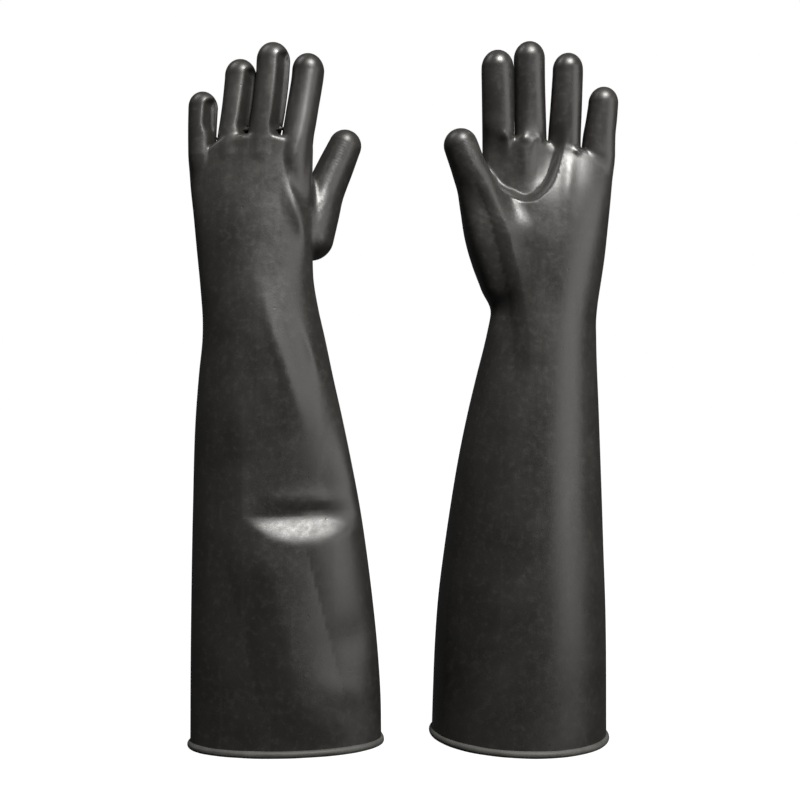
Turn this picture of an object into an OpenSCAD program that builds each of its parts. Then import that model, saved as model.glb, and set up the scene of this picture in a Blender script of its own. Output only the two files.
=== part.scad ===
// Pair of long rubber insulating gauntlets, standing upright on their cuffs.
// Each glove is a thin dipped shell with a rolled bead round its cuff. The shell is
// divided where the rubber bends: at the wrist, the knuckles, the four fingers and the
// thumb. Both gloves have the same left-hand form; the right one is turned half a turn
// about its length, so it shows its palm to the front (-Y) and the left one its back.

/* [Gloves] */
// Height from the cuff to the tip of the middle finger
glove_length = 600; // [500:5:700]
// Thickness of the rubber
wall = 1.5; // [1:0.1:2]
// Distance between the centres of the two cuffs
pair_spacing = 198; // [194:1:240]

/* [Hand] */
// Wrist to the tip of the middle finger
hand_length = 222; // [215:1:230]
// Width of the wrist
wrist_w = 95; // [88:1:98]
// Thickness of the wrist, back to palm
wrist_d = 66; // [60:1:72]
// Diameter of the index finger at its root
finger_d = 26; // [24.5:0.1:26.4]
// Diameter of the thumb near its tip
thumb_d = 29; // [26:0.5:30]
// Lean of the thumb away from the hand, in degrees
thumb_tilt = 21; // [18:1:26]

/* [Cuffs] */
// Width of the left cuff
left_cuff_w = 161; // [152:1:166]
// Width of the right cuff, which stands rounder
right_cuff_w = 150; // [140:1:158]
// Depth of the left cuff from its widest line to the front, on the side of the back of the hand
left_cuff_front = 38; // [34:1:60]
// Depth of the left cuff from its widest line to the rear
left_cuff_rear = 66; // [50:1:70]
// Half of the right cuff's depth
right_cuff_half_d = 65; // [55:1:70]
// Diameter of the rolled bead
roll_d = 6.4; // [5:0.1:8]

/* [Hidden] */

// Every module takes the glove as g. In a glove's own frame the thumb is on +X, the palm
// faces +Y and the origin is the middle of the cuff's widest line.
LEFT = 0;
RIGHT = 1;
INDEX = 0;
MIDDLE = 1;
RING = 2;
LITTLE = 3;

rubber_colour = [0.17, 0.165, 0.16];
roll_colour = [0.27, 0.27, 0.265];

// Gap of the slit between two nodes of one shell, and the thickness of a lofting slice
slit = 0.3;
thin = 0.01;
outline_sides = 28;
stall_sides = 20;

// Cuffs, one value for each glove: half width, and depth on the back's and the palm's side
cuff_half_w = [left_cuff_w / 2, right_cuff_w / 2];
cuff_back = [left_cuff_front, right_cuff_half_d];
cuff_palm = [left_cuff_rear, right_cuff_half_d];
cuff_y = [-right_cuff_half_d + left_cuff_front, 0];
cuff_x = [-pair_spacing / 2, pair_spacing / 2];

// Rolled bead: a round section with a flat foot, as wide as the wall where the sleeve starts
roll_r = roll_d / 2;
foot_half_w = 1.5;
roll_z = sqrt(roll_r * roll_r - foot_half_w * foot_half_w);
roll_steps = 5;
roll_from = -asin(roll_z / roll_r);
roll_to = acos(wall / 2 / roll_r);
roll_top = roll_z + roll_r * sin(roll_to);

// Sleeve: widens from the wrist to the cuff, slowly at first near the cuff
wrist_z = glove_length - hand_length;
wrist_x = -22.5;
hand_y = 13.5;
sleeve_steps = 8;
widening = 1.9;
leaning = 1.6;

// Heights in the hand
knuckle_z = wrist_z + 0.527 * hand_length;
palm_top_z = knuckle_z + 8;
finger_bend_z = [
    wrist_z + 0.752 * hand_length, wrist_z + 0.757 * hand_length,
    wrist_z + 0.745 * hand_length, wrist_z + 0.685 * hand_length
];
web_z = [
    wrist_z + 0.646 * hand_length, wrist_z + 0.640 * hand_length, wrist_z + 0.595 * hand_length
];
tip_z = [
    wrist_z + 0.968 * hand_length, glove_length,
    wrist_z + 0.950 * hand_length, wrist_z + 0.820 * hand_length
];

// Fingers from index to little: radius at root and tip, and the line of each finger
root_r = [finger_d / 2, finger_d / 2 + 0.2, finger_d / 2 - 1, finger_d / 2 - 2.4];
tip_r = [12.3, 12.8, 11.8, 10.8];
root_x = [[9, -22, -48.5, -72.8], [17.5, -10, -38.5, -68]];
tip_x = [18, -11.5, -41, -71.5];
finger_curl = 5;
finger_steps = 4;
web_r = 8;

// Thumb: heel and ball of the thumb, the thumb's root and its tip
heel_at = [4, 19, wrist_z + 0.13 * hand_length];
heel_r = 22;
ball_at = [14, 25, wrist_z + 0.25 * hand_length];
ball_r = 22;
thumb_root_at = [31, 33, wrist_z + 0.405 * hand_length];
thumb_root_r = 17;
thumb_r = thumb_d / 2;
thumb_reach = 48;
thumb_turn = 17;
thumb_dir = [sin(thumb_tilt) * cos(thumb_turn), sin(thumb_tilt) * sin(thumb_turn), cos(thumb_tilt)];
thumb_tip_at = thumb_root_at + thumb_reach * thumb_dir;
thumb_bend = 15;
thumb_bend_at = thumb_root_at + thumb_bend * thumb_dir;
thumb_steps = 2;

function mix(a, b, t) = a + (b - a) * t;
function mix3(a, b, t) = [for (i = [0:2]) mix(a[i], b[i], t)];

// Half width, back depth and palm depth of the sleeve at height z, and its centre
function sleeve_mix(z) = pow(max(0, z) / wrist_z, widening);
function sleeve_size(g, z) = [
    mix(cuff_half_w[g], wrist_w / 2, sleeve_mix(z)),
    mix(cuff_back[g], wrist_d / 2, sleeve_mix(z)),
    mix(cuff_palm[g], wrist_d / 2, sleeve_mix(z))
];
function sleeve_at(z) =
    let (t = pow(max(0, z) / wrist_z, leaning))
    [wrist_x * t, hand_y * t, z];

// The palm's outline spans the finger roots at the knuckles
function knuckle_left(g) = root_x[g][LITTLE] - root_r[LITTLE] - 0.6;
function knuckle_right(g) = root_x[g][INDEX] + root_r[INDEX] + 0.2;
function palm_size(g, t) = [
    mix(wrist_w / 2, (knuckle_right(g) - knuckle_left(g)) / 2, t),
    mix(wrist_d / 2, 15.5, t),
    mix(wrist_d / 2, 16, t) + 4 * sin(180 * t)
];
function palm_at(g, t) = [
    mix(wrist_x, (knuckle_left(g) + knuckle_right(g)) / 2, t),
    hand_y,
    mix(wrist_z, knuckle_z, t)
];

// Centre and radius of a finger at fraction t from its root to the ball of its tip
function finger_at(g, i, t) = [
    mix(root_x[g][i], tip_x[i], t),
    hand_y + finger_curl * t * t,
    mix(palm_top_z, tip_z[i] - tip_r[i], t)
];
function finger_radius(i, t) = mix(root_r[i], tip_r[i], t);

// Half of the bead's section, from its foot up to the sleeve: distance from the middle of the
// wall, and height. Its other half is the mirror of it, towards the inside of the cuff.
roll_half = [
    for (k = [0:roll_steps])
        let (a = mix(roll_from, roll_to, k / roll_steps))
        [roll_r * cos(a), roll_z + roll_r * sin(a)]
];
roll_section = concat(roll_half, [for (k = [roll_steps:-1:0]) [-roll_half[k][0], roll_half[k][1]]]);

// The bead's section carried round the cuff's outline
function roll_points(g) = [
    for (i = [0:outline_sides - 1])
        for (p = roll_section)
            let (at = outline(sleeve_size(g, 0), wall / 2 - p[0])[i])
            [at[0], at[1], p[1]]
];
function roll_faces() = [
    for (i = [0:outline_sides - 1])
        for (j = [0:len(roll_section) - 1])
            let (
                n = len(roll_section),
                here = i * n,
                next = ((i + 1) % outline_sides) * n,
                up = (j + 1) % n
            )
            [here + j, here + up, next + up, next + j]
];

// Outline of a slice: two half ellipses that share their width
function outline(size, inset) = [
    for (i = [0:outline_sides - 1])
        let (a = 360 * i / outline_sides, depth = a > 180 ? size[1] : size[2])
        [(size[0] - inset) * cos(a), (depth - inset) * sin(a)]
];

module slice(at, size, inset) {
    translate(at)
        linear_extrude(thin)
            polygon(outline(size, inset));
}

module ball(at, r) {
    translate(at)
        sphere(r, $fn = stall_sides);
}

// Puts a glove's own frame in its place in the pair
module place(g) {
    translate([cuff_x[g], cuff_y[g], 0])
        rotate([0, 0, 180 * g])
            children();
}

// Everything between two heights
module slab(z_from, z_to) {
    translate([-200, -200, z_from])
        cube([400, 400, z_to - z_from]);
}

// Sleeve form from the cuff to the wrist; the bore runs past both ends
module sleeve_form(g, inset, z_from, z_to) {
    for (k = [0:sleeve_steps - 1]) {
        z_low = mix(z_from, z_to, k / sleeve_steps);
        z_high = mix(z_from, z_to, (k + 1) / sleeve_steps);
        hull() {
            slice(sleeve_at(z_low), sleeve_size(g, z_low), inset);
            slice(sleeve_at(z_high), sleeve_size(g, z_high), inset);
        }
    }
}

module palm_form(g, inset) {
    steps = 6;
    for (k = [0:steps - 1]) {
        hull() {
            slice(palm_at(g, k / steps), palm_size(g, k / steps), inset);
            slice(palm_at(g, (k + 1) / steps), palm_size(g, (k + 1) / steps), inset);
        }
    }
    top_at = palm_at(g, 1) + [0, 0, palm_top_z - knuckle_z - inset];
    hull() {
        slice(palm_at(g, 1), palm_size(g, 1), inset);
        slice(top_at, palm_size(g, 1) - [1.5, 3, 3], inset);
    }
}

module finger_form(g, i, inset) {
    for (k = [0:finger_steps - 1]) {
        t_low = k / finger_steps;
        t_high = (k + 1) / finger_steps;
        hull() {
            ball(finger_at(g, i, t_low), finger_radius(i, t_low) - inset);
            ball(finger_at(g, i, t_high), finger_radius(i, t_high) - inset);
        }
    }
}

// Rubber between the roots of finger i and the next one
module finger_web(g, i) {
    at_z = web_z[i] - web_r;
    hull() {
        ball([root_x[g][i], hand_y, at_z], web_r);
        ball([root_x[g][i + 1], hand_y, at_z], web_r);
    }
}

module thumb_form(inset) {
    hull() {
        ball(heel_at, heel_r - inset);
        ball(ball_at, ball_r - inset);
    }
    hull() {
        ball(ball_at, ball_r - inset);
        ball(thumb_root_at, thumb_root_r - inset);
    }
    for (k = [0:thumb_steps - 1]) {
        t_low = k / thumb_steps;
        t_high = (k + 1) / thumb_steps;
        hull() {
            ball(mix3(thumb_root_at, thumb_tip_at, t_low), mix(thumb_root_r, thumb_r, t_low) - inset);
            ball(mix3(thumb_root_at, thumb_tip_at, t_high), mix(thumb_root_r, thumb_r, t_high) - inset);
        }
    }
}

// Skin between the thumb's root and the edge of the palm, round a hollow when inset
module thumb_web(g, inset) {
    hull() {
        ball([knuckle_right(g) - 16, hand_y, wrist_z + 0.38 * hand_length], 11 - inset);
        ball(thumb_root_at - 8 * thumb_dir, 13 - inset);
    }
}

// The thumb's side of the plane across it where it bends, or the hand's side
module thumb_beyond(is_tip) {
    translate(thumb_bend_at)
        rotate([0, thumb_tilt, thumb_turn])
            translate([-60, -60, is_tip ? slit / 2 : -120 - slit / 2])
                cube([120, 120, 120]);
}

module sleeve(g) {
    color(rubber_colour)
        place(g)
            difference() {
                sleeve_form(g, 0, roll_top, wrist_z - slit / 2);
                sleeve_form(g, wall, roll_top - 0.5, wrist_z + 0.5);
            }
}

module cuff_roll(g) {
    color(roll_colour)
        place(g)
            polyhedron(roll_points(g), roll_faces(), convexity = 6);
}

module hand(g) {
    color(rubber_colour)
        place(g)
            intersection() {
                difference() {
                    union() {
                        palm_form(g, 0);
                        thumb_web(g, 0);
                        intersection() {
                            thumb_form(0);
                            thumb_beyond(false);
                        }
                    }
                    palm_form(g, wall);
                    thumb_web(g, wall);
                    thumb_form(wall);
                    palm_entry();
                }
                slab(wrist_z + slit / 2, knuckle_z - slit / 2);
            }
}

// Opens the palm's hollow down to the wrist
module palm_entry() {
    translate([0, 0, -1])
        slice(palm_at(LEFT, 0), palm_size(LEFT, 0), wall);
}

module finger_roots(g) {
    color(rubber_colour)
        place(g)
            difference() {
                union() {
                    palm_form(g, 0);
                    for (i = [INDEX:RING])
                        finger_web(g, i);
                    for (i = [INDEX:LITTLE])
                        intersection() {
                            finger_form(g, i, 0);
                            slab(0, finger_bend_z[i] - slit / 2);
                        }
                }
                palm_form(g, wall);
                for (i = [INDEX:LITTLE])
                    finger_form(g, i, wall);
                slab(0, knuckle_z + slit / 2);
            }
}

module fingertip(g, i) {
    color(rubber_colour)
        place(g)
            difference() {
                finger_form(g, i, 0);
                finger_form(g, i, wall);
                slab(0, finger_bend_z[i] + slit / 2);
            }
}

module thumb_tip(g) {
    color(rubber_colour)
        place(g)
            intersection() {
                difference() {
                    thumb_form(0);
                    thumb_form(wall);
                }
                thumb_beyond(true);
            }
}

sleeve(LEFT);  // left_sleeve
cuff_roll(LEFT);  // left_cuff_roll
hand(LEFT);  // left_hand
finger_roots(LEFT);  // left_finger_roots
fingertip(LEFT, INDEX);  // left_index_tip
fingertip(LEFT, MIDDLE);  // left_middle_tip
fingertip(LEFT, RING);  // left_ring_tip
fingertip(LEFT, LITTLE);  // left_little_tip
thumb_tip(LEFT);  // left_thumb_tip
sleeve(RIGHT);  // right_sleeve
cuff_roll(RIGHT);  // right_cuff_roll
hand(RIGHT);  // right_hand
finger_roots(RIGHT);  // right_finger_roots
fingertip(RIGHT, INDEX);  // right_index_tip
fingertip(RIGHT, MIDDLE);  // right_middle_tip
fingertip(RIGHT, RING);  // right_ring_tip
fingertip(RIGHT, LITTLE);  // right_little_tip
thumb_tip(RIGHT);  // right_thumb_tip
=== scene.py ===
"""A pair of long rubber insulating gauntlets, standing on their cuffs.

The left glove shows its back and the right one its palm. Each glove is one skin, described
as a distance field in the glove's own frame: thumb on +X, palm on +Y, fingers on +Z, in
millimetres from the middle of the cuff's widest line. The skin is cut where the joints'
bends begin and end, so that its pieces stay joined at every pose.
"""
import functools
import math

import bmesh
import bpy
import numpy as np
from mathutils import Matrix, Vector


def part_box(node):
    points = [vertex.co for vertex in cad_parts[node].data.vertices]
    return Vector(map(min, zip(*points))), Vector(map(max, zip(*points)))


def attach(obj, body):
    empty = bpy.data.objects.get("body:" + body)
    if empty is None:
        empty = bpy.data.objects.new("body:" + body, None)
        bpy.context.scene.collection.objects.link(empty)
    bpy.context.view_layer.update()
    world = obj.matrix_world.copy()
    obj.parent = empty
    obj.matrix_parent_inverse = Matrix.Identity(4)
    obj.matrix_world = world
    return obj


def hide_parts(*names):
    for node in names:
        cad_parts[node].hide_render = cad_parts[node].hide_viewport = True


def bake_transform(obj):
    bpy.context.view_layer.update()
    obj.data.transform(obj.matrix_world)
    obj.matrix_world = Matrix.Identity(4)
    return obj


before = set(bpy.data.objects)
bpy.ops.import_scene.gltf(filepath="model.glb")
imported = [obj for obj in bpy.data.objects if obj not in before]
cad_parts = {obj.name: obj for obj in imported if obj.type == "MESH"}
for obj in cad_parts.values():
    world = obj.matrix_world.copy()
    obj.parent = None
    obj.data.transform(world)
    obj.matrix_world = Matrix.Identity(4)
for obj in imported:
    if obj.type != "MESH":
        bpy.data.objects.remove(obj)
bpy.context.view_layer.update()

# Measures in millimetres. The rubber's wall, the rolled edge's radius, a finger's usual half
# width, the height of a finger's domed end over its half width.
MM = 0.001
WALL = 1.5
BEAD_R = 3.2
FINGER_W = 13.3
DOME = 1.12

# Heights: the skin's foot inside the rolled edge, the sleeve's shelf, the lowest of the thumb's
# ball, the join of sleeve and hand, the lowest of the fingers in the palm, and their roots.
SKIN_FOOT = 3.0
SHELF_Z = 198
HAND_Z = 360
JOIN_Z = 409.0
PALM_Z = 450
ROOT_Z = 500

# How far below its root each finger still shows in the palm.
SINK_LONG = (100, 52, 52, 52)

# The mesh: its steps, and the longest move when a point is put on the skin.
STEP_HAND = 2.1
STEP_SLEEVE = 3.0
STEP_FINGER = 2.1
LONGEST_MOVE = 6
TINY = 1e-9

# ---------------------------------------------------------------- camera

cam_data = bpy.data.cameras.new("camera")
cam_data.lens = 50.0
cam_data.sensor_width = 36.0
camera = bpy.data.objects.new("camera", cam_data)
camera.location = (-0.0029, -0.9683, 0.2919)
camera.rotation_euler = (math.radians(90), 0, 0)
bpy.context.scene.collection.objects.link(camera)
bpy.context.scene.camera = camera

# ---------------------------------------------------------------- small tools


class Curve:
    """A smooth curve through a few points, held level beyond its ends."""

    def __init__(self, *points):
        self.x, self.y = np.array(points, float).T
        self.slope = np.gradient(self.y, self.x)

    def __call__(self, at):
        at = np.clip(at, self.x[0], self.x[-1])
        k = np.clip(np.searchsorted(self.x, at) - 1, 0, len(self.x) - 2)
        h = self.x[k + 1] - self.x[k]
        t = (at - self.x[k]) / h
        a = (1 + 2 * t) * (1 - t) ** 2
        b = t * (1 - t) ** 2
        c = t * t * (3 - 2 * t)
        d = t * t * (t - 1)
        start = a * self.y[k] + b * h * self.slope[k]
        return start + c * self.y[k + 1] + d * h * self.slope[k + 1]


def ramp(t):
    """0 below 0, 1 above 1, smooth between."""
    t = np.clip(t, 0, 1)
    return t * t * (3 - 2 * t)


def bell(t):
    """1 at 0, falling to nothing on both sides."""
    return np.exp(-t * t)


def join(a, b, k):
    """The union of two distance fields, rounded over a width k."""
    h = np.clip(0.5 + 0.5 * (b - a) / k, 0, 1)
    return b + (a - b) * h - k * h * (1 - h)


def meet(a, b, k):
    """The intersection of two distance fields, rounded over a width k."""
    return -join(-a, -b, k)


def capsule(x, y, z, a, b, ra, rb):
    """Distance from a tapered round-ended bar."""
    d = b - a
    t = ((x - a[0]) * d[0] + (y - a[1]) * d[1] + (z - a[2]) * d[2]) / (d @ d)
    t = np.clip(t, 0, 1)
    px, py, pz = x - a[0] - t * d[0], y - a[1] - t * d[1], z - a[2] - t * d[2]
    return np.sqrt(px * px + py * py + pz * pz) - (ra + (rb - ra) * t)


def off_line(x, z, a, b):
    """Signed distance from the line a-b in the X-Z plane, and the place along it from 0 to 1."""
    dx, dz = b[0] - a[0], b[1] - a[1]
    n = math.hypot(dx, dz)
    along = ((x - a[0]) * dx + (z - a[1]) * dz) / (n * n)
    return ((x - a[0]) * dz - (z - a[1]) * dx) / n, along


# ---------------------------------------------------------------- the two gloves

# How far the widest line of each level section lies towards the palm.
MID_Y = Curve((0, 0), (100, 1.6), (200, 4.9), (300, 9.3), (378, 13.5), (505, 13.5))

# Both classes hold one glove's measures. little and thumb are the side outlines, back and palm
# the depths to either side of MID_Y, turn the cuff's twist, top the web line that ends the palm.
# For each finger: the line of its middle (x and y by height), its half width at the root and
# near the end, where its dark flank starts and its tip. thumb_bar lists (x, y, z, radius).


class Left:
    """Stands with the back of the hand to the front, its cuff a little flattened."""

    name = "left"
    turned = False
    little = Curve((0, -80.4), (120, -80.3), (200, -79.7), (280, -78), (315, -75.6), (345, -73),
                   (360, -73), (385, -74.9), (420, -78.3), (450, -81), (480, -84), (500, -84.6),
                   (530, -85.4))
    thumb = Curve((0, 80.2), (40, 79.6), (80, 77), (120, 73), (160, 68), (200, 62), (240, 54.4),
                  (280, 46), (310, 39.2), (345, 31.7), (372, 25.6), (395, 21.8), (415, 21),
                  (450, 20.8), (520, 21))
    back = Curve((0, 38), (120, 38), (250, 36.5), (378, 33), (440, 25), (480, 18.5), (505, 16),
                 (530, 15.8))
    palm = Curve((0, 66), (100, 62.5), (200, 55), (300, 43.6), (378, 33), (430, 29), (470, 22.5),
                 (505, 14), (530, 11))
    turn = 0.06
    top = Curve((-88, 504), (-68, 507), (-57, 514), (-38, 518), (-10, 518), (25, 512))
    finger_x = (
        Curve((470, 6.5), (505, 7), (520, 8.2), (532, 10.1), (545, 12), (560, 14.4), (572, 16.1),
              (582, 16.9)),
        Curve((470, -22.5), (508, -21.8), (520, -20.4), (532, -18), (545, -16.1), (570, -13.5),
              (585, -12.8)),
        Curve((470, -49.5), (505, -49.2), (520, -47.7), (532, -45.9), (545, -44.2), (570, -41.6)),
        Curve((470, -73.5), (508, -74), (520, -73.8), (546, -73)),
    )
    finger_y = (
        Curve((480, 15.5), (505, 16), (530, 18.5), (550, 20.5), (590, 23)),
        Curve((480, 15.5), (505, 15.2), (530, 14), (550, 14), (590, 15.5)),
        Curve((480, 15.5), (505, 15.8), (530, 17.5), (550, 19), (590, 21)),
        Curve((480, 15.5), (505, 15.2), (530, 14), (560, 15)),
    )
    finger_w = ((13.5, 13.9), (13.6, 14.4), (12.3, 13.6), (11.3, 12.5))
    flank = (None, 0.36, 0.38, 0.24)
    tip_z = (592.3, 599.6, 586.5, 556.8)
    thumb_bar = ((18.1, 27, 433.7, 20.4), (24.4, 31, 454.7, 18.6), (29.7, 35, 473.7, 17.2),
                 (39.2, 38.5, 496.9, 15.9), (47.5, 40, 516, 14.4))
    thumb_join = Curve((408, 3), (425, 5), (450, 7), (475, 7), (500, 4))
    knuckle_at = (23.0, 0, 501.0)
    thumb_at = (25.0, 0, 503.0)


class Right:
    """The same left-hand form, turned half round to show its palm; its cuff stands rounder."""

    name = "right"
    turned = True
    little = Curve((0, -75.9), (120, -75), (160, -73.6), (200, -72.3), (280, -69.3),
                   (345, -66.6), (360, -66.4), (372, -67.4), (395, -70.8), (410, -73),
                   (440, -76.2), (470, -79.2), (500, -82), (530, -84.4))
    thumb = Curve((0, 74.2), (40, 73), (80, 71.4), (120, 68.6), (160, 63.8), (200, 58.1),
                  (240, 51.6), (280, 43.6), (310, 36.6), (345, 28), (365, 24), (400, 22),
                  (440, 22), (470, 25), (520, 31))
    back = Curve((0, 65), (100, 61.5), (200, 54.5), (300, 43.4), (378, 33), (440, 25),
                 (480, 18.5), (505, 16), (530, 15.8))
    palm = Curve((0, 65), (100, 61.5), (200, 54.5), (300, 43.4), (378, 33), (430, 29.5),
                 (470, 24), (505, 14), (530, 11))
    turn = -0.08
    top = Curve((-88, 500), (-64, 503), (-55, 506), (-40, 511), (-22, 514), (8, 517), (34, 512))
    finger_x = (
        Curve((470, 17), (515, 17.7), (570, 18.8)),
        Curve((470, -10.4), (525, -10.2), (570, -9.2), (590, -9)),
        Curve((470, -38.6), (515, -39), (540, -40.2), (570, -41.5)),
        Curve((470, -67.5), (510, -68.3), (520, -69), (530, -70.4), (545, -72)),
    )
    finger_y = (
        Curve((480, 15.5), (505, 16), (530, 18.5), (550, 20.5), (590, 22.5)),
        Curve((480, 15.5), (505, 15), (530, 13), (550, 13), (590, 15)),
        Curve((480, 15.5), (515, 15.7), (550, 17.4), (590, 19.5)),
        Curve((480, 15.5), (510, 15.6), (530, 16.6), (560, 18.5)),
    )
    finger_w = ((13.6, 13.7), (13.6, 13.3), (14.1, 12.8), (14.4, 12.6))
    flank = (None, None, None, None)
    tip_z = (589.8, 599.4, 588.2, 559.6)
    thumb_bar = ((12.6, 20, 394.3, 21.6), (19.9, 24, 413.6, 22), (25.6, 27, 433, 22),
                 (31.8, 31, 455, 19.6), (36.4, 34, 471, 17.9), (43.9, 36.5, 489, 15.9),
                 (51, 38, 504.9, 14.3))
    thumb_join = Curve((385, 12), (430, 16), (470, 14), (500, 7))
    knuckle_at = (31.0, 0, 501.0)
    thumb_at = (30.0, 0, 503.0)


def finger_field(g, i, x, y, z):
    """One finger: a rounded section, deeper towards the back of the hand, and a domed end."""
    w0, w1 = g.finger_w[i]
    dome = DOME * w1
    top = g.tip_z[i] - dome
    at = np.minimum(z, top)
    along = np.clip((at - ROOT_Z) / (top - ROOT_Z), 0, 1)
    sunk = 1 - 0.6 * ramp((503 - at) / SINK_LONG[i])
    half = (w0 + (w1 - w0) * along) * sunk
    cy = g.finger_y[i](at)
    depth = np.where(y < cy, 18 - 4.8 * along, 11.6 + 1.4 * along)
    depth = depth * sunk * (w1 + FINGER_W) / (2 * FINGER_W)
    n = 2.6 - 0.5 * along
    u = np.abs(x - g.finger_x[i](at)) / half + TINY
    v = np.abs(y - cy) / depth + TINY
    e = np.maximum(z - top, 0) / dome
    level = u**n + v**n
    rho = np.sqrt(level ** (2 / n) + e * e)
    share = level ** (2 / n - 1) / rho
    across = share * u ** (n - 1) / half
    through = share * v ** (n - 1) / depth
    slope = np.sqrt(across**2 + through**2 + (e / dome / rho) ** 2)
    field = (rho - 1) / np.maximum(slope, 1e-3)
    if g.flank[i] is not None:
        start = g.flank[i] * half + 7 * ramp((z - top) / w1) + 4 * ramp((528 - z) / 14)
        wall = 0.94 * (x - g.finger_x[i](at) - start) - 0.34 * (y - cy + 0.9 * depth)
        floor = cy - 1 - y
        field = meet(field, join(wall, floor, 3.0), 1.8)
    return field


def body_field(g, x, y, z):
    """The sleeve, the wrist and the palm: half-ellipse sections that turn squarer at the hand."""
    low, high = g.little(z), g.thumb(z)
    cx, half = 0.5 * (low + high), 0.5 * (high - low)
    cy = MID_Y(z) + g.turn * (x - cx) * ramp(1 - z / 330)
    depth = np.where(y < cy, g.back(z), g.palm(z))
    n = 2.0 + 0.45 * ramp((z - 400) / 70)
    u = np.abs(x - cx) / half + TINY
    v = np.abs(y - cy) / depth + TINY
    rho = (u**n + v**n) ** (1 / n)
    slope = rho ** (1 - n) * np.hypot(u ** (n - 1) / half, v ** (n - 1) / depth)
    tube = (rho - 1) / np.maximum(slope, 1e-4)
    return meet(tube, z - g.top(x), 7.0)


def thumb_field(g, x, y, z):
    """The thumb and its ball: one bar swept along a smooth line."""
    bar = np.array(g.thumb_bar)
    stops = np.arange(len(bar))
    fine = np.linspace(0, len(bar) - 1, 8 * (len(bar) - 1) + 1)
    line = np.stack([Curve(*zip(stops, bar[:, k]))(fine) for k in range(4)], 1)
    field = np.full(x.shape, 1e3)
    for a, b in zip(line, line[1:]):
        field = np.minimum(field, capsule(x, y, z, a[:3], b[:3], a[3], b[3]))
    return field


def long_bump(x, z, a, b, high, wide):
    """A soft ridge of that height along the line a-b."""
    d, t = off_line(x, z, a, b)
    return high * bell(d / wide) * bell((t - 0.5) / 0.62)


# Lines of the relief, in X and Z: the edge of the back towards the thumb, the edge of the palm
# towards the thumb, the rim of the hollow in the palm, and small bumps where fingers part.
BACK_EDGE = Curve((400, 24), (418, 21), (446, 14.5), (459, 9.5), (470, 3.5), (480, 1.5),
                  (495, 4.5), (511, 8), (530, 13))
PALM_EDGE = Curve((300, -8), (384, -1), (420, 8), (447, 16), (470, 26))
RIM = Curve((-46, 545), (-33, 503), (-25, 479), (-14.5, 465), (-5.5, 461), (7, 466),
            (20.5, 477), (33.5, 501), (46, 545))
LEFT_WEBS = ((-10.5, 516), (-38, 516), (-67, 506))
RIGHT_WEBS = ((13, 516, 1.4, 4), (-3, 515, 1.1, 4.5), (-18, 514, 1.4, 4), (-27, 512, 1.1, 3),
              (-48, 503, 1.0, 3))


def relief_left(x, y, z):
    """What the back of the left glove shows: the bent sleeve's shelf, and soft long folds."""
    front = ramp((MID_Y(z) - 4 - y) / 16)
    edge = SHELF_Z + 0.04 * (x - 15)
    bowl = np.clip(1 - ((x - 22) / 56) ** 2, 0, 1)
    tall = 3 + 26 * bowl
    below = np.clip((z - (edge - tall)) / tall, 0, 1)
    below = below * below * (2.2 - 1.2 * below)
    above = 1 - ramp((z - edge) / 100)
    out = 11.5 * bowl**1.3 * below * above
    out -= 3.0 * bowl**2 * bell((z - edge - 11) / 9)
    d, _ = off_line(x, z, (-15, 168), (25, 12))
    keel = np.maximum(1 - np.sqrt((d / 34) ** 2 + 0.015), 0)
    out -= 5.0 * keel * ramp((z - 5) / 45) * ramp((192 - z) / 45)
    out -= long_bump(x, z, (-13, 362), (7, 298), 1.7, 6.5)
    out -= long_bump(x, z, (17, 352), (27, 316), 1.3, 4.5)
    out -= long_bump(x, z, (-44, 330), (-36, 240), 1.0, 11)
    out += long_bump(x, z, (40, 88), (74, 100), 1.4, 17)
    out -= long_bump(x, z, (30, 60), (70, 44), 1.0, 12)
    away = np.maximum(x - BACK_EDGE(z), 0)
    slope = 0.62 * away * away / (away + 3.5)
    out += np.minimum(slope, 12) * ramp((z - 396) / 26) * ramp((532 - z) / 40)
    out -= long_bump(x, z, (4, 466), (20, 424), 2.7, 7)
    web = 0
    for cx, cz in LEFT_WEBS:
        web = web + 0.4 * bell(np.hypot(x - cx, z - cz) / 3.2)
    return (out - web) * front


def relief_right(x, y, z):
    """What the palm shows: the hollow under the first two fingers, and ridges round it."""
    front = ramp((y - MID_Y(z) - 2) / 12)
    rim = RIM(x)
    slant = 1 / np.hypot(1, (RIM(x + 1) - RIM(x - 1)) / 2)
    d = (z - rim) * slant
    sides = ramp((x + 43) / 13) * ramp((40 - x) / 10)
    hollow = 7.5 * ramp((d + 4.5) / 10) * (1 - ramp((d - 7) / 38)) * (1 - ramp((z - ROOT_Z) / 30))
    out = hollow * sides
    out -= long_bump(x, z, (-42, 495), (-37, 458), 1.1, 5.5)
    out -= 1.8 * bell(np.hypot(x - 3, z - 435) / 13)
    away = np.maximum(x - PALM_EDGE(z), 0)
    fall = np.minimum(0.42 * away * away / (away + 5), 4) * (1 - ramp((away - 14) / 18))
    out += fall * ramp((z - 290) / 80) * ramp((486 - z) / 40)
    for cx, cz, high, r in RIGHT_WEBS:
        out -= high * bell(np.hypot(x - cx, z - cz) / r)
    return out * front


RELIEF = {"left": relief_left, "right": relief_right}


def glove_field(g, x, y, z):
    """A whole glove: the body, and the fingers and the thumb joined to it, with its relief."""
    field = body_field(g, x, y, z)
    hand = z > HAND_Z
    if hand.any():
        xs, ys, zs = x[hand], y[hand], z[hand]
        part = field[hand]
        fingers = finger_field(g, 0, xs, ys, zs)
        for i in (1, 2, 3):
            fingers = join(fingers, finger_field(g, i, xs, ys, zs), 0.4)
        part = np.where(zs > PALM_Z, join(part, fingers, 2.0), part)
        part = join(part, thumb_field(g, xs, ys, zs), g.thumb_join(zs))
        field[hand] = part
    return field + RELIEF[g.name](x, y, z)


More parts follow.
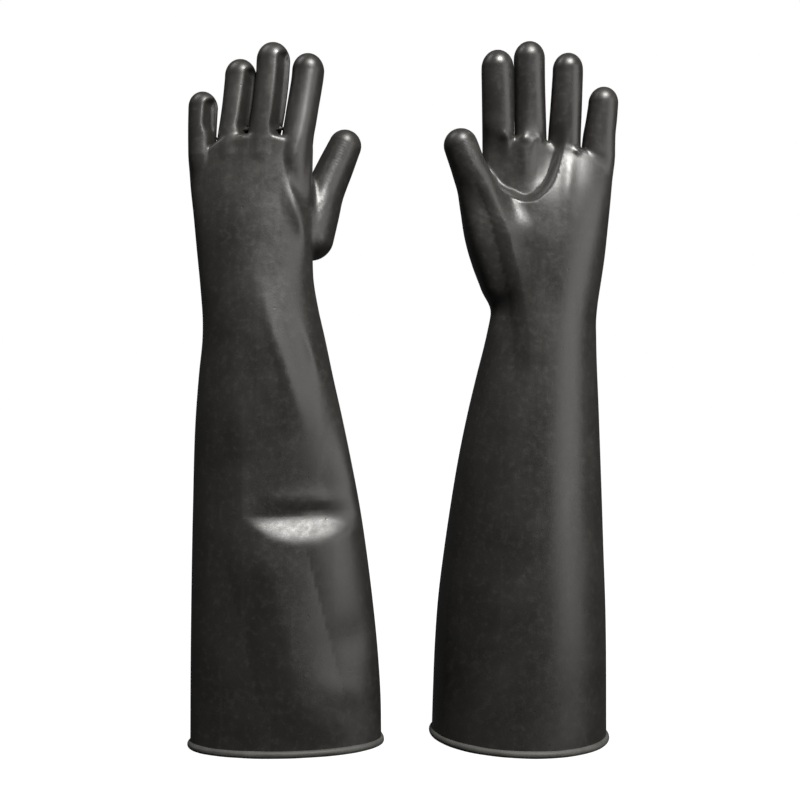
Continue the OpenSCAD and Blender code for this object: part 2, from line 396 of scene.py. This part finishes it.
def finger_skin_field(g, i, cut, x, y, z):
    """The whole skin near a finger's cut, and the finger alone further up."""
    share = ramp((z - cut) / 8)
    alone = finger_field(g, i, x, y, z) + RELIEF[g.name](x, y, z)
    return glove_field(g, x, y, z) * (1 - share) + alone * share


# ---------------------------------------------------------------- from field to mesh


def gradient(field, p, h=0.25):
    """The field's slope at each point, from differences over h to each side."""
    out = np.empty_like(p)
    for k in range(3):
        d = np.zeros(3)
        d[k] = h
        a, b = p + d, p - d
        out[:, k] = (field(*a.T) - field(*b.T)) / (2 * h)
    return out


def settle(field, p, turns=3, level=False):
    """Moves points onto the skin; level keeps their heights."""
    for _ in range(turns):
        n = gradient(field, p)
        if level:
            n[:, 2] = 0
        f = field(*p.T)
        move = n * (f / np.maximum((n * n).sum(1), 0.05))[:, None]
        long = np.linalg.norm(move, axis=1)
        p = p - move * np.minimum(1, LONGEST_MOVE / np.maximum(long, TINY))[:, None]
    return p


def steps(start, stop, coarse, fine, zones):
    """Grid lines from start to stop, closer together inside the zones."""
    out = [start]
    while out[-1] < stop:
        near = any(a - coarse < out[-1] < b for a, b in zones)
        out.append(out[-1] + (fine if near else coarse))
    return np.array(out)


def skin(field, axes):
    """A quad mesh of the skin inside a grid, by surface nets."""
    shape = tuple(len(a) for a in axes)
    x, y, z = np.meshgrid(*axes, indexing="ij")
    f = field(x.ravel(), y.ravel(), z.ravel()).reshape(shape)
    inside = f < 0
    cells = tuple(n - 1 for n in shape)

    def corner(v, c):
        return v[tuple(slice(c[i], c[i] + cells[i]) for i in range(3))]

    corners = [(i, j, k) for i in (0, 1) for j in (0, 1) for k in (0, 1)]
    count = sum(corner(inside, c).astype(np.int8) for c in corners)
    active = (count > 0) & (count < 8)
    index = -np.ones(cells, np.int64)
    index[active] = np.arange(active.sum())
    where = np.argwhere(active)
    total, hits = np.zeros((len(where), 3)), np.zeros(len(where))
    for a in corners:
        for k in range(3):
            if a[k]:
                continue
            b = tuple(a[i] + (i == k) for i in range(3))
            fa = f[tuple((where + a).T)]
            fb = f[tuple((where + b).T)]
            cross = (fa < 0) != (fb < 0)
            t = np.where(cross, fa / np.where(cross, fa - fb, 1), 0)
            point = np.tile(np.array(a, float), (len(where), 1))
            point[:, k] += t
            total += point * cross[:, None]
            hits += cross
    place = where + total / hits[:, None]
    points = np.stack([np.interp(place[:, k], np.arange(shape[k]), axes[k]) for k in range(3)], 1)
    faces = []
    for k in range(3):
        i, j = (k + 1) % 3, (k + 2) % 3
        first = [slice(None)] * 3
        second = [slice(None)] * 3
        first[k], second[k] = slice(0, -1), slice(1, None)
        a, b = inside[tuple(first)], inside[tuple(second)]
        for flip, edges in ((False, a & ~b), (True, ~a & b)):
            at = np.argwhere(edges)
            ai, aj = at[:, i], at[:, j]
            at = at[(ai > 0) & (aj > 0) & (ai < cells[i]) & (aj < cells[j])]
            quad = []
            for di, dj in ((-1, -1), (0, -1), (0, 0), (-1, 0)):
                c = at.copy()
                c[:, i] += di
                c[:, j] += dj
                quad.append(index[tuple(c.T)])
            quad = np.array(quad).T
            faces.append(quad[:, ::-1] if flip else quad)
    return points, np.concatenate(faces)


def plane_cut(bm, point, normal, keep):
    """Adds a clean edge loop where a plane meets the faces that keep allows."""
    faces = [f for f in bm.faces if keep(f.calc_center_median())]
    edges = {e for f in faces for e in f.edges}
    verts = {v for f in faces for v in f.verts}
    bmesh.ops.bisect_plane(
        bm, geom=list(verts) + list(edges) + faces, dist=0.02, plane_co=point, plane_no=normal
    )


def side_of(points, point, normal):
    """Which points lie beyond a plane."""
    n = np.array(normal, float)
    return (points - np.array(point)) @ n > 0


# Where the skin is cut, and where each bend starts and ends, in a glove's own frame.
KNUCKLE_DIR = (-0.216, 0, 0.976)
FINGER_CUT = 523.0
LITTLE_CUT = 514.5
THUMB_DIR = (0.72, 0.10, 0.69)
FINGERS = ("index", "middle", "ring", "little")


def flood(faces, seed_face, allowed):
    """Faces joined to seed_face through the allowed ones."""
    owner = {}
    for k in np.flatnonzero(allowed):
        f = faces[k]
        for a, b in zip(f, f[1:] + f[:1]):
            owner.setdefault((min(a, b), max(a, b)), []).append(k)
    found = np.zeros(len(faces), bool)
    found[seed_face] = True
    stack = [seed_face]
    while stack:
        f = faces[stack.pop()]
        for a, b in zip(f, f[1:] + f[:1]):
            for k in owner.get((min(a, b), max(a, b)), ()):
                if not found[k]:
                    found[k] = True
                    stack.append(k)
    return found


def cut_skin(g, field):
    """The skin of the palm and thumb with its cuts: points, faces and each face's piece."""
    mids = [0.5 * (g.finger_x[i](515) + g.finger_x[i + 1](515)) for i in range(3)]
    axes = (
        steps(-93, 73, STEP_HAND, 0.8, [(m - 4.5, m + 4.5) for m in mids]),
        steps(-24, 68, STEP_HAND, STEP_HAND, []),
        steps(JOIN_Z - 8, 535, STEP_HAND, 1.2, [(499, 527)]),
    )
    points, quads = skin(field, axes)
    points = settle(field, points)
    bm = bmesh.new()
    verts = [bm.verts.new(p) for p in points]
    for q in quads:
        bm.faces.new([verts[i] for i in q])
    plane_cut(bm, (0, 0, JOIN_Z), (0, 0, 1), lambda c: c.z < JOIN_Z + 6)
    plane_cut(bm, g.knuckle_at, KNUCKLE_DIR, lambda c: 462 < c.z < 512)
    plane_cut(bm, (0, 0, LITTLE_CUT), (0, 0, 1), lambda c: abs(c.z - LITTLE_CUT) < 6 and c.x < -40)
    plane_cut(bm, (0, 0, FINGER_CUT), (0, 0, 1), lambda c: abs(c.z - FINGER_CUT) < 6)
    plane_cut(bm, g.thumb_at, THUMB_DIR, lambda c: c.x > 22 and c.y > 12)
    low = [f for f in bm.faces if f.calc_center_median().z < JOIN_Z]
    bmesh.ops.delete(bm, geom=low, context="FACES")
    bm.verts.index_update()
    points = np.array([v.co for v in bm.verts])
    faces = [[v.index for v in f.verts] for f in bm.faces]
    bm.free()
    centres = np.array([points[f].mean(0) for f in faces])
    label = np.full(len(faces), "hand", dtype="U12")
    above = side_of(centres, g.knuckle_at, KNUCKLE_DIR)
    seed = int(np.argmin(abs(centres[:, 2] - 530) + abs(centres[:, 0] - g.finger_x[1](530))))
    fingers = flood(faces, seed, above)
    label[fingers] = "knuckles"
    label[fingers & (centres[:, 2] > FINGER_CUT)] = "gone"
    little = np.array((g.finger_x[3](530), g.finger_y[3](530), 530))
    seed = int(np.argmin(((centres - little) ** 2).sum(1)))
    label[flood(faces, seed, fingers & (centres[:, 2] > LITTLE_CUT))] = "gone"
    past = side_of(centres, g.thumb_at, THUMB_DIR) & ~fingers
    tip = np.array(g.thumb_bar[-1][:3]) + (0, 0, 14)
    seed = int(np.argmin(((centres - tip) ** 2).sum(1) + 1e6 * fingers))
    label[flood(faces, seed, past)] = "thumb"
    return points, faces, label


def rims(points, faces):
    """The open edges of some faces, each a loop of points, counter-clockwise seen from above."""
    edges = {(a, b) for f in faces for a, b in zip(f, f[1:] + f[:1])}
    after = {a: b for a, b in edges if (b, a) not in edges}
    loops = []
    while after:
        start = next(iter(after))
        loop, at = [], start
        while at in after:
            loop.append(at)
            at = after.pop(at)
        p = points[loop]
        area = np.sum(p[:, 0] * np.roll(p[:, 1], -1) - p[:, 1] * np.roll(p[:, 0], -1))
        loops.append(p if area > 0 else p[::-1])
    return loops


def rim_near(loops, point):
    """The loop whose middle is nearest to a point."""
    return min(loops, key=lambda p: np.linalg.norm(p.mean(0) - np.array(point)))


def between(rings, closed):
    """Quads between rings that run upward, and a fan to the last point if closed."""
    count = len(rings[0])
    faces = []
    for r in range(len(rings) - 1):
        a = r * count
        for k in range(count):
            m = (k + 1) % count
            faces.append([a + k, a + m, a + count + m, a + count + k])
    points = np.concatenate(rings)
    if closed is not None:
        a = (len(rings) - 1) * count
        points = np.concatenate([points, [closed]])
        faces += [[a + k, a + (k + 1) % count, len(points) - 1] for k in range(count)]
    return points, faces


def sleeve_skin(g, field, rim):
    """The sleeve's skin: level rings, whose top ring is the hand's own lower rim."""
    z = np.arange(SKIN_FOOT, JOIN_Z - 2.0, STEP_SLEEVE)[:, None]
    count = len(rim)
    middle = (0.5 * (g.little(JOIN_Z) + g.thumb(JOIN_Z)), MID_Y(JOIN_Z))
    angle = np.unwrap(np.arctan2(rim[:, 1] - middle[1], rim[:, 0] - middle[0]))[None]
    around = angle[0, 0] + 2 * math.pi * np.arange(count) / count
    share = ramp((JOIN_Z - z) / 120)
    turn = angle * (1 - share) + around * share
    low, high = g.little(z), g.thumb(z)
    depth = np.where(np.sin(turn) < 0, g.back(z), g.palm(z))
    x = 0.5 * (low + high) + 0.5 * (high - low) * np.cos(turn)
    y = MID_Y(z) + depth * np.sin(turn)
    near = 1 - ramp((JOIN_Z - z) / 90)
    x = x + near * (rim[:, 0] - x)
    y = y + near * (rim[:, 1] - y)
    p = np.stack([x, y, z + 0 * x], 2)
    p = settle(field, p.reshape(-1, 3), 5, level=True).reshape(p.shape)
    return between(list(p) + [rim], None)


def finger_skin(g, i, field, rim):
    """A finger's skin from the knuckles' rim to its domed end."""
    w1 = g.finger_w[i][1]
    top = g.tip_z[i] - DOME * w1
    start = rim[0][2]
    count = len(rim)
    angle = np.unwrap(np.arctan2(rim[:, 1] - rim[:, 1].mean(), rim[:, 0] - rim[:, 0].mean()))[None]
    even = angle[0, 0] + 2 * math.pi * np.arange(count) / count
    straight = np.linspace(start, top, int((top - start) / STEP_FINGER) + 1)[1:, None]
    dome = np.radians(np.arange(9, 88, 9))[:, None]
    z = np.concatenate([straight, np.full(dome.shape, top)])
    up = np.concatenate([0 * straight, dome])
    share = ramp((z - start) / 12)
    turn = angle * (1 - share) + even * share
    x = g.finger_x[i](z) + w1 * np.cos(up) * np.cos(turn)
    y = g.finger_y[i](z) + w1 * np.cos(up) * np.sin(turn)
    p = np.stack([x, y, z + DOME * w1 * np.sin(up) + 0 * x], 2)
    side = len(straight)
    p[:side] = settle(field, p[:side].reshape(-1, 3), 4, level=True).reshape(p[:side].shape)
    p[side:] = settle(field, p[side:].reshape(-1, 3), 4).reshape(p[side:].shape)
    pole = np.array([[float(g.finger_x[i](top)), float(g.finger_y[i](top)), g.tip_z[i]]])
    return between([rim] + list(p), settle(field, pole, 4)[0])


def place_of(g):
    """Where a glove's own origin is, from its cuff roll's box in the frame."""
    low, high = (np.array(v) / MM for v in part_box(g.name + "_cuff_roll"))
    over = BEAD_R - WALL / 2
    near = float((g.palm if g.turned else g.back)(0))
    return np.array((0.5 * (low[0] + high[0]), low[1] + near + over, 0.0))


def facing(g):
    """What a glove's own directions are multiplied by in the frame."""
    return np.array((-1, -1, 1) if g.turned else (1, 1, 1))


def to_frame(g, p):
    """From a glove's own frame in millimetres to the shared frame in metres."""
    return (np.array(p, float) * facing(g) + ORIGIN[g.name]) * MM


def shell(g, name, points, faces, normals):
    """A closed piece of skin, as thick as the rubber, with the whole glove's normals."""
    used = sorted({v for f in faces for v in f})
    number = {v: i for i, v in enumerate(used)}
    n = len(used)
    outer = points[used]
    normal = normals[used]
    inner = outer - WALL * normal
    polys = [[number[v] for v in f] for f in faces]
    edges = {(a, b) for f in polys for a, b in zip(f, f[1:] + f[:1])}
    both = polys + [[v + n for v in reversed(f)] for f in polys]
    both += [[b, a, a + n, b + n] for a, b in edges if (b, a) not in edges]
    rest = np.concatenate([outer, inner])
    mesh = bpy.data.meshes.new(name)
    mesh.from_pydata(to_frame(g, rest).tolist(), [], both)
    mesh.polygons.foreach_set("use_smooth", [True] * len(mesh.polygons))
    turned = np.concatenate([normal, -normal]) * facing(g)
    mesh.normals_split_custom_set_from_vertices(turned.tolist())
    return finish_piece(name, mesh, to_frame(g, rest))


def finish_piece(name, mesh, rest):
    """Links a piece, and keeps its places at rest for its materials."""
    kept = mesh.attributes.new("rest", "FLOAT_VECTOR", "POINT")
    kept.data.foreach_set("vector", rest.astype(np.float32).ravel())
    obj = bpy.data.objects.new(name, mesh)
    bpy.context.scene.collection.objects.link(obj)
    return obj


def bead(g, path_points):
    """The rolled edge: the rubber's own rim turned up on itself, so it is never quite even."""
    count, around = len(path_points), 20
    forward = np.roll(path_points, -1, 0) - np.roll(path_points, 1, 0)
    outward = np.stack([forward[:, 1], -forward[:, 0], np.zeros(count)], 1)
    outward /= np.linalg.norm(outward, axis=1)[:, None]
    phase = 2 * math.pi * np.arange(count) / count
    swell = 1 + 0.025 * np.sin(3 * phase + 1) + 0.02 * np.sin(7 * phase)
    swell = swell + 0.012 * np.sin(17 * phase + 2)
    roll = 0.25 * np.sin(2 * phase + 0.6) + 0.12 * np.sin(9 * phase)
    points = []
    for j in range(around):
        a = 2 * math.pi * j / around
        seam = 1 - 0.10 * bell((a - 1.15 - 0.4 * roll) / 0.22)
        r = np.minimum(BEAD_R * swell * seam, BEAD_R * 1.03)
        up = np.maximum(BEAD_R + r * math.sin(a), 0.0)
        ring = path_points + outward * (r * math.cos(a))[:, None]
        points.append(ring + np.stack([0 * up, 0 * up, up], 1))
    grid = np.stack(points, 1).reshape(-1, 3)
    faces = []
    for i in range(count):
        for j in range(around):
            m, k = (i + 1) % count, (j + 1) % around
            faces.append([i * around + j, m * around + j, m * around + k, i * around + k])
    name = g.name + "_cuff_bead"
    mesh = bpy.data.meshes.new(name)
    placed = to_frame(g, grid)
    mesh.from_pydata(placed.tolist(), [], faces)
    mesh.polygons.foreach_set("use_smooth", [True] * len(mesh.polygons))
    return finish_piece(name, mesh, placed)


def build(g):
    """All the pieces of one glove; the hand and the rolled edge ride on their bodies."""
    side = g.name
    field = functools.partial(glove_field, g)

    def piece(name, points, faces, own=field):
        slope = gradient(own, points)
        normals = slope / np.linalg.norm(slope, axis=1)[:, None]
        return shell(g, f"{side}_{name}_skin", points, faces, normals)

    points, faces, label = cut_skin(g, field)
    groups = {}
    for face, name in zip(faces, label):
        groups.setdefault(str(name), []).append(face)
    parts = {name: piece(name, points, groups[name]) for name in ("hand", "knuckles", "thumb")}
    rim = rim_near(rims(points, groups["hand"]), (-26, 13, JOIN_Z))
    low_points, low_faces = sleeve_skin(g, field, rim)
    parts["sleeve"] = piece("sleeve", low_points, low_faces)
    loops = rims(points, groups["knuckles"])
    for i, name in enumerate(FINGERS):
        cut = LITTLE_CUT if name == "little" else FINGER_CUT
        own = functools.partial(finger_skin_field, g, i, cut)
        loop = rim_near(loops, (g.finger_x[i](cut), g.finger_y[i](cut), cut))
        tip_points, tip_faces = finger_skin(g, i, own, loop)
        parts[name] = piece(name, tip_points, tip_faces, own)
    count = len(rim)
    foot = low_points[:count]
    inward = gradient(field, foot) * (1, 1, 0)
    foot = foot - inward / np.linalg.norm(inward, axis=1)[:, None] * (WALL / 2)
    foot[:, 2] = 0
    parts["bead"] = bead(g, foot)

    def bend(part, node):
        obj = parts[part]
        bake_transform(obj)
        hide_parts(f"{side}_{node}")
        obj.data.materials.append(RUBBER)

    bend("sleeve", "sleeve")
    bend("knuckles", "finger_roots")
    bend("thumb", "thumb_tip")
    for i, name in enumerate(FINGERS):
        bend(name, name + "_tip")
    hand = parts["hand"]
    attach(hand, side + "_hand")
    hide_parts(side + "_hand")
    hand.data.materials.append(RUBBER)
    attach(parts["bead"], side + "_sleeve")
    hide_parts(side + "_cuff_roll")
    parts["bead"].data.materials.append(BEAD_RUBBER)


# ---------------------------------------------------------------- materials


class Nodes:
    """Short calls for a material's node tree."""

    def __init__(self, name):
        self.material = bpy.data.materials.new(name)
        self.material.use_nodes = True
        self.tree = self.material.node_tree
        self.shader = self.tree.nodes["Principled BSDF"]

    def add(self, kind, **settings):
        node = self.tree.nodes.new(kind)
        for key, value in settings.items():
            setattr(node, key, value)
        return node

    def link(self, a, b):
        self.tree.links.new(a, b)

    def rest(self):
        return self.add("ShaderNodeAttribute", attribute_name="rest").outputs["Vector"]

    def scaled(self, vector, scale):
        node = self.add("ShaderNodeMapping")
        node.inputs["Scale"].default_value = scale
        self.link(vector, node.inputs["Vector"])
        return node.outputs["Vector"]

    def noise(self, vector, scale, detail=3.0, rough=0.5):
        node = self.add("ShaderNodeTexNoise")
        node.inputs["Scale"].default_value = scale
        node.inputs["Detail"].default_value = detail
        node.inputs["Roughness"].default_value = rough
        self.link(vector, node.inputs["Vector"])
        return node.outputs["Fac"]

    def cells(self, vector, scale):
        node = self.add("ShaderNodeTexVoronoi")
        node.inputs["Scale"].default_value = scale
        self.link(vector, node.inputs["Vector"])
        return node.outputs["Distance"]

    def range(self, value, a, b, c, d):
        node = self.add("ShaderNodeMapRange")
        for key, number in zip(("From Min", "From Max", "To Min", "To Max"), (a, b, c, d)):
            node.inputs[key].default_value = number
        self.link(value, node.inputs["Value"])
        return node.outputs["Result"]

    def math(self, how, a, b):
        node = self.add("ShaderNodeMath", operation=how)
        for socket, value in zip(node.inputs, (a, b)):
            if isinstance(value, (int, float)):
                socket.default_value = value
            else:
                self.link(value, socket)
        return node.outputs["Value"]

    def blend(self, factor, a, b):
        node = self.add("ShaderNodeMix", data_type="RGBA")
        self.link(factor, node.inputs["Factor"])
        for socket, value in ((node.inputs[6], a), (node.inputs[7], b)):
            if isinstance(value, tuple):
                socket.default_value = (*value, 1)
            else:
                self.link(value, socket)
        return node.outputs[2]

    def bump(self, height, strength, distance, normal=None):
        node = self.add("ShaderNodeBump")
        node.inputs["Strength"].default_value = strength
        node.inputs["Distance"].default_value = distance
        self.link(height, node.inputs["Height"])
        if normal is not None:
            self.link(normal, node.inputs["Normal"])
        return node.outputs["Normal"]


def rubber():
    """Dipped black rubber: clouded by dust and bloom, with pinholes and long flow marks."""
    m = Nodes("dipped_rubber")
    p = m.rest()
    cloud = m.noise(p, 22, 4, 0.6)
    mottle = m.noise(p, 170, 4, 0.65)
    flow = m.noise(m.scaled(p, (95, 95, 7)), 1.0, 3, 0.6)
    grain = m.noise(p, 1100, 2, 0.6)
    dots = m.cells(p, 70)
    dark, dusty = (0.0155, 0.0148, 0.0136), (0.024, 0.0228, 0.021)
    base = m.blend(m.range(cloud, 0.35, 0.7, 0, 1), dark, dusty)
    base = m.blend(m.range(mottle, 0.52, 0.74, 0, 0.35), base, (0.046, 0.0435, 0.040))
    base = m.blend(m.range(flow, 0.62, 0.8, 0, 0.25), base, (0.040, 0.038, 0.0355))
    base = m.blend(m.range(dots, 0.03, 0.06, 0.8, 0), base, (0.008, 0.008, 0.0075))
    m.link(base, m.shader.inputs["Base Color"])
    dull = m.range(cloud, 0.3, 0.7, 0.34, 0.42)
    dull = m.math("ADD", dull, m.range(mottle, 0.35, 0.7, -0.03, 0.06))
    dull = m.math("ADD", dull, m.range(flow, 0.4, 0.75, -0.02, 0.05))
    m.link(dull, m.shader.inputs["Roughness"])
    m.shader.inputs["Specular IOR Level"].default_value = 0.5
    n = m.bump(flow, 0.10, 0.0006)
    n = m.bump(mottle, 0.16, 0.0005, n)
    n = m.bump(grain, 0.14, 0.0002, n)
    n = m.bump(m.range(dots, 0.03, 0.08, 0, 1), 0.35, 0.0002, n)
    m.link(n, m.shader.inputs["Normal"])
    return m.material


def bead_rubber():
    """The rolled edge's rubber: matt, paler with powder, and rubbed along its length."""
    m = Nodes("rolled_edge_rubber")
    p = m.rest()
    cloud = m.noise(p, 60, 4, 0.6)
    rub = m.noise(m.scaled(p, (30, 30, 900)), 1.0, 3, 0.6)
    grain = m.noise(p, 900, 2, 0.6)
    base = m.blend(m.range(cloud, 0.3, 0.7, 0, 1), (0.036, 0.036, 0.034), (0.066, 0.066, 0.062))
    base = m.blend(m.range(rub, 0.5, 0.75, 0, 0.5), base, (0.10, 0.10, 0.095))
    m.link(base, m.shader.inputs["Base Color"])
    m.link(m.range(cloud, 0.3, 0.7, 0.55, 0.68), m.shader.inputs["Roughness"])
    n = m.bump(rub, 0.25, 0.0003)
    n = m.bump(grain, 0.2, 0.0002, n)
    m.link(n, m.shader.inputs["Normal"])
    return m.material


RUBBER = rubber()
BEAD_RUBBER = bead_rubber()
ORIGIN = {g.name: place_of(g) for g in (Left, Right)}
for g in (Left, Right):
    build(g)

# ---------------------------------------------------------------- stage and light


def area_light(name, place, target, size, watts, colour=(1, 1, 1)):
    data = bpy.data.lights.new(name, "AREA")
    data.shape = "RECTANGLE"
    data.size, data.size_y = size
    data.energy = watts
    data.color = colour
    light = bpy.data.objects.new(name, data)
    light.location = place
    aim = Vector(target) - Vector(place)
    light.rotation_mode = "QUATERNION"
    light.rotation_quaternion = aim.to_track_quat("-Z", "Y")
    bpy.context.scene.collection.objects.link(light)


area_light("key", (0.40, -1.05, 1.75), (0, 0, 0.35), (0.5, 0.5), 60, (1, 0.98, 0.955))
area_light("side", (1.5, -1.1, 0.55), (0, 0, 0.3), (1.3, 1.5), 18, (1, 0.98, 0.96))
area_light("top_left", (-0.75, -0.15, 1.65), (0, 0, 0.5), (0.3, 0.6), 4)

FLOOR = 30
floor_data = bpy.data.meshes.new("floor")
corners = [(-FLOOR, -FLOOR, 0), (FLOOR, -FLOOR, 0), (FLOOR, FLOOR, 0), (-FLOOR, FLOOR, 0)]
floor_data.from_pydata(corners, [], [(0, 1, 2, 3)])
floor = bpy.data.objects.new("floor", floor_data)
bpy.context.scene.collection.objects.link(floor)
f = Nodes("pale_floor")
floor_place = f.add("ShaderNodeTexCoord").outputs["Object"]
tone = f.blend(f.noise(floor_place, 6), (0.10, 0.10, 0.10), (0.11, 0.11, 0.11))
f.link(tone, f.shader.inputs["Base Color"])
f.shader.inputs["Roughness"].default_value = 0.9
f.shader.inputs["Emission Color"].default_value = (1, 1, 1, 1)
f.shader.inputs["Emission Strength"].default_value = 1.0
floor_data.materials.append(f.material)
floor.visible_glossy = False
floor.visible_diffuse = False

world = bpy.data.worlds.new("studio")
bpy.context.scene.world = world
world.use_nodes = True
tree = world.node_tree
tree.nodes.clear()
out = tree.nodes.new("ShaderNodeOutputWorld")
path = tree.nodes.new("ShaderNodeLightPath")
mix = tree.nodes.new("ShaderNodeMixShader")
dim = tree.nodes.new("ShaderNodeBackground")
pale = tree.nodes.new("ShaderNodeBackground")
dim.inputs["Color"].default_value = (0.055, 0.055, 0.055, 1)
pale.inputs["Color"].default_value = (1, 1, 1, 1)
tree.links.new(path.outputs["Is Camera Ray"], mix.inputs["Fac"])
tree.links.new(dim.outputs[0], mix.inputs[1])
tree.links.new(pale.outputs[0], mix.inputs[2])
tree.links.new(mix.outputs[0], out.inputs["Surface"])

bpy.context.scene.view_settings.view_transform = "Standard"
